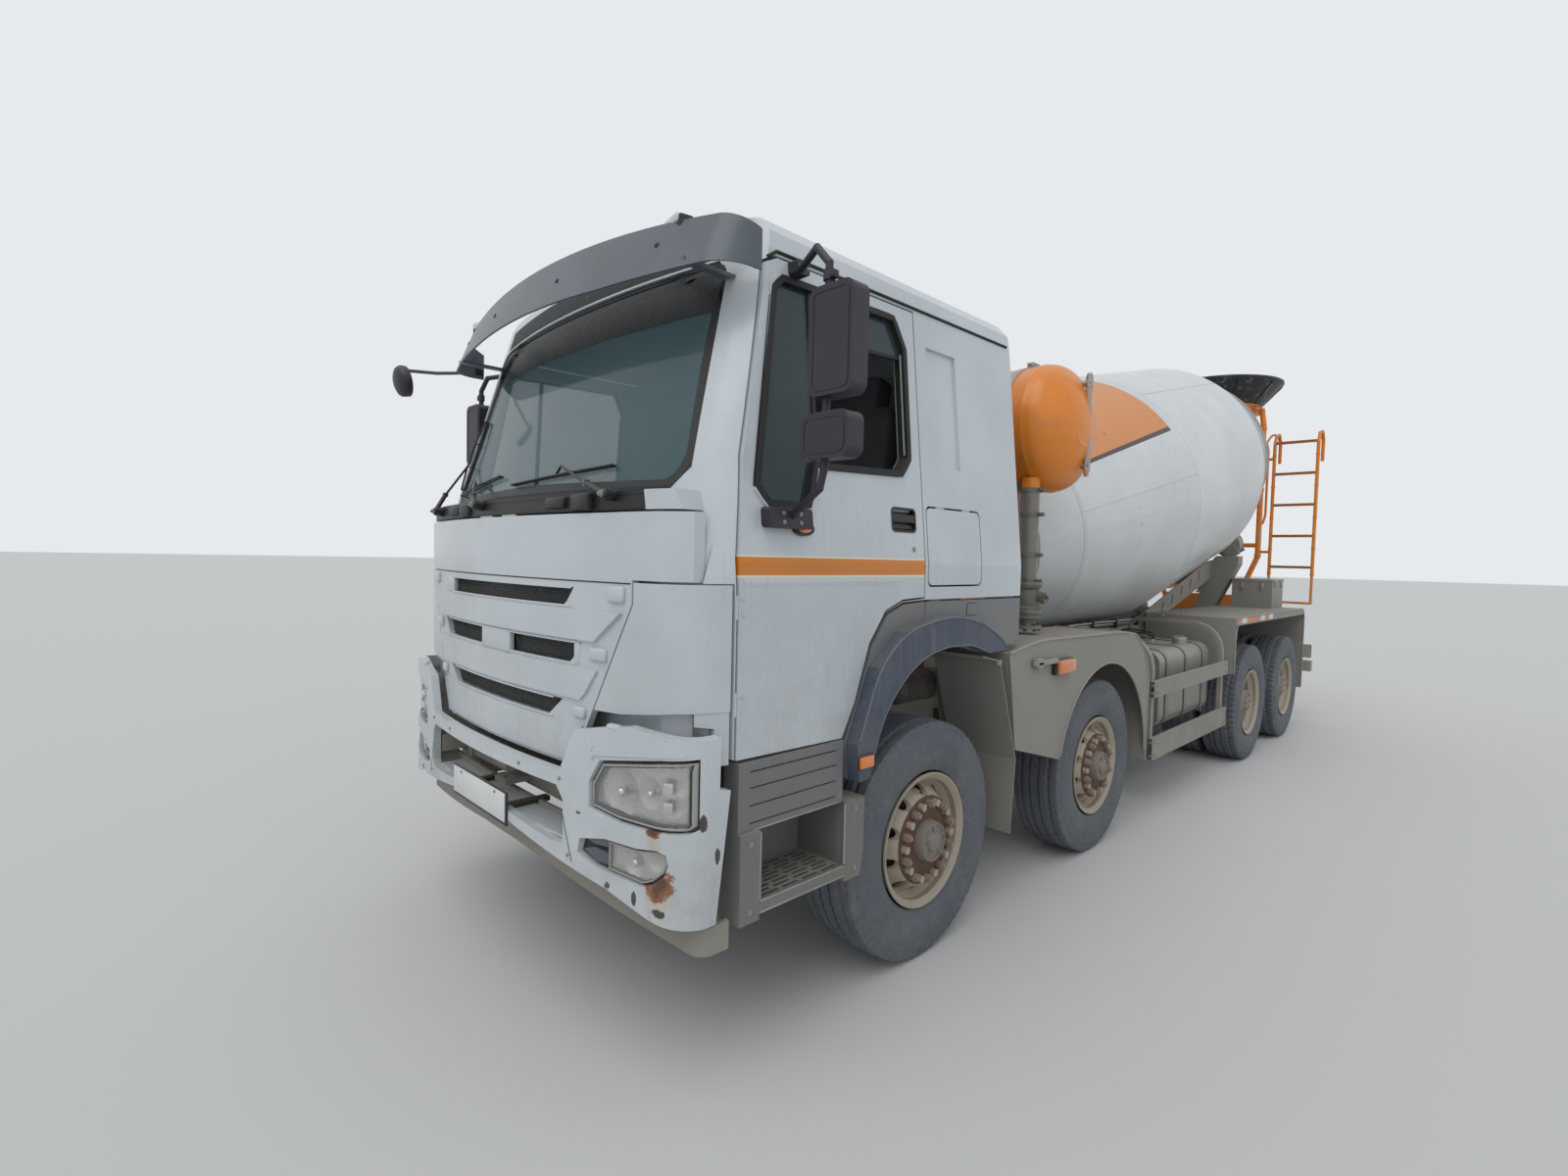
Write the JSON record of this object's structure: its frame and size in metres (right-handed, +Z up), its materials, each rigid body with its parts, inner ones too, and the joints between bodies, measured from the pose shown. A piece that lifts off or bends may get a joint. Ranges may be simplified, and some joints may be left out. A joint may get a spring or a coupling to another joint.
{
  "type": "concrete mixer truck",
  "caption": "Forward-control truck with paired steered front axles, twin-tyred driven axles, a sloping mixer drum with feed hopper, discharge funnel and folding chute.",
  "frame": {"origin": "on the ground, under the middle of the bounding box", "axes": "+X to the truck's left, +Y to its rear, +Z up"},
  "size_m": [3.021, 10.1098, 4.0498],
  "materials": {
    "frame_paint": "dusty grey chassis paint",
    "running_gear": "grimy castings",
    "cab_white": "semi-gloss white paint, grimy low down",
    "drum_white": "dull off-white paint with scuffs",
    "orange_paint": "orange paint",
    "hopper_black": "matt black",
    "step_grey": "scuffed grey",
    "dark_plastic": "moulded dark plastic",
    "tinted_glass": "tinted glass",
    "lamp_lens": "clear lenses",
    "cab_trim": "grey cab trim",
    "tank_metal": "dull metal under dust",
    "box_grey": "grey paint under dust",
    "tyre": "dusty tyre rubber",
    "rim": "tan wheel paint with rust"
  },
  "bodies": {
    "chassis": {"chassis_frame": "frame_paint", "engine_block": "running_gear", "axles": "running_gear", "leaf_springs": "running_gear", "bumper": "cab_white", "bumper_valance": "step_grey", "front_lamps": "lamp_lens", "cab_shell": "cab_white", "wiper_panel": "dark_plastic", "corner_panels": "cab_white", "windscreen": "tinted_glass", "arch_trims": "dark_plastic", "sun_visor": "dark_plastic", "cab_interior": "cab_trim", "entry_steps": "step_grey", "mudguards": "frame_paint", "side_guards": "frame_paint", "fuel_tank": "tank_metal", "battery_box": "box_grey", "water_tank": "orange_paint", "drum_stand": "frame_paint", "drum_gearbox": "running_gear", "feed_hopper": "hopper_black", "discharge_frame": "orange_paint", "ladder": "orange_paint", "rear_crossbar": "frame_paint"},
    "mask": {"front_mask": "cab_white"},
    "door_left": {"door_left": "cab_white", "door_glass_left": "tinted_glass", "mirror_left": "dark_plastic"},
    "door_right": {"door_right": "cab_white", "door_glass_right": "tinted_glass", "mirror_right": "dark_plastic"},
    "locker_lid_left": {"locker_lid_left": "cab_white"},
    "locker_lid_right": {"locker_lid_right": "cab_white"},
    "drum": {"drum": "drum_white"},
    "chute_turret": {"chute_swivel": "orange_paint"},
    "chute": {"chute_main": "orange_paint"},
    "chute_tip": {"chute_extension": "orange_paint"},
    "knuckle_1_left": {"knuckle_1_left": "running_gear"},
    "knuckle_1_right": {"knuckle_1_right": "running_gear"},
    "knuckle_2_left": {"knuckle_2_left": "running_gear"},
    "knuckle_2_right": {"knuckle_2_right": "running_gear"},
    "wheel_1_left": {"tyre_1_left": "tyre", "rim_1_left": "rim"},
    "wheel_1_right": {"tyre_1_right": "tyre", "rim_1_right": "rim"},
    "wheel_2_left": {"tyre_2_left": "tyre", "rim_2_left": "rim"},
    "wheel_2_right": {"tyre_2_right": "tyre", "rim_2_right": "rim"},
    "wheel_3_left": {"tyre_3_left": "tyre", "rim_3_left": "rim"},
    "wheel_3_right": {"tyre_3_right": "tyre", "rim_3_right": "rim"},
    "wheel_4_left": {"tyre_4_left": "tyre", "rim_4_left": "rim"},
    "wheel_4_right": {"tyre_4_right": "tyre", "rim_4_right": "rim"}
  },
  "joints": [
    {"name": "steer_1_left", "type": "hinge", "parent": "chassis", "child": "knuckle_1_left", "pos_m": [0.93, -3.536, 0.529], "axis": [0, 0, 1], "range_deg": [-35, 35]},
    {"name": "steer_1_right", "type": "hinge", "parent": "chassis", "child": "knuckle_1_right", "pos_m": [-0.93, -3.536, 0.529], "axis": [0, 0, 1], "range_deg": [-35, 35]},
    {"name": "steer_2_left", "type": "hinge", "parent": "chassis", "child": "knuckle_2_left", "pos_m": [0.93, -1.736, 0.529], "axis": [0, 0, 1], "range_deg": [-23.8, 23.8]},
    {"name": "steer_2_right", "type": "hinge", "parent": "chassis", "child": "knuckle_2_right", "pos_m": [-0.93, -1.736, 0.529], "axis": [0, 0, 1], "range_deg": [-23.8, 23.8]},
    {"name": "spin_1_left", "type": "hinge", "parent": "knuckle_1_left", "child": "wheel_1_left", "pos_m": [1, -3.536, 0.529], "axis": [1, 0, 0], "continuous": true},
    {"name": "spin_1_right", "type": "hinge", "parent": "knuckle_1_right", "child": "wheel_1_right", "pos_m": [-1, -3.536, 0.529], "axis": [1, 0, 0], "continuous": true},
    {"name": "spin_2_left", "type": "hinge", "parent": "knuckle_2_left", "child": "wheel_2_left", "pos_m": [1, -1.736, 0.529], "axis": [1, 0, 0], "continuous": true},
    {"name": "spin_2_right", "type": "hinge", "parent": "knuckle_2_right", "child": "wheel_2_right", "pos_m": [-1, -1.736, 0.529], "axis": [1, 0, 0], "continuous": true},
    {"name": "spin_3_left", "type": "hinge", "parent": "chassis", "child": "wheel_3_left", "pos_m": [1, 1.514, 0.529], "axis": [1, 0, 0], "continuous": true},
    {"name": "spin_3_right", "type": "hinge", "parent": "chassis", "child": "wheel_3_right", "pos_m": [-1, 1.514, 0.529], "axis": [1, 0, 0], "continuous": true},
    {"name": "spin_4_left", "type": "hinge", "parent": "chassis", "child": "wheel_4_left", "pos_m": [1, 2.864, 0.529], "axis": [1, 0, 0], "continuous": true},
    {"name": "spin_4_right", "type": "hinge", "parent": "chassis", "child": "wheel_4_right", "pos_m": [-1, 2.864, 0.529], "axis": [1, 0, 0], "continuous": true},
    {"name": "door_left_swing", "type": "hinge", "parent": "chassis", "child": "door_left", "pos_m": [1.174, -4.686, 1.9], "axis": [0, 0, -1], "range_deg": [0, 70]},
    {"name": "locker_left_lift", "type": "hinge", "parent": "chassis", "child": "locker_lid_left", "pos_m": [1.15, -3.409, 1.995], "axis": [0, -1, 0], "range_deg": [0, 75]},
    {"name": "door_right_swing", "type": "hinge", "parent": "chassis", "child": "door_right", "pos_m": [-1.174, -4.686, 1.9], "axis": [0, 0, 1], "range_deg": [0, 70]},
    {"name": "locker_right_lift", "type": "hinge", "parent": "chassis", "child": "locker_lid_right", "pos_m": [-1.15, -3.409, 1.995], "axis": [0, 1, 0], "range_deg": [0, 75]},
    {"name": "mask_lift", "type": "hinge", "parent": "chassis", "child": "mask", "pos_m": [0, -4.981, 1.909], "axis": [-1, 0, 0], "range_deg": [0, 70]},
    {"name": "drum_spin", "type": "hinge", "parent": "chassis", "child": "drum", "pos_m": [0, -1.566, 1.904], "axis": [0, 0.9748, 0.2233], "continuous": true},
    {"name": "chute_turn", "type": "hinge", "parent": "chassis", "child": "chute_turret", "pos_m": [0, 4.45, 1.4], "axis": [0, 0, -1], "range_deg": [0, 180]},
    {"name": "chute_tilt", "type": "hinge", "parent": "chute_turret", "child": "chute", "pos_m": [0, 4.45, 1.8], "axis": [0, 1, 0], "range_deg": [-25, 15]},
    {"name": "chute_unfold", "type": "hinge", "parent": "chute", "child": "chute_tip", "pos_m": [-1.04985, 4.45, 1.54649], "axis": [0, -1, 0], "range_deg": [0, 180]}
  ],
  "couplings": [
    {"joint": "steer_1_right", "follows": "steer_1_left", "ratio": 1},
    {"joint": "steer_2_left", "follows": "steer_1_left", "ratio": 0.68},
    {"joint": "steer_2_right", "follows": "steer_1_left", "ratio": 0.68}
  ]
}
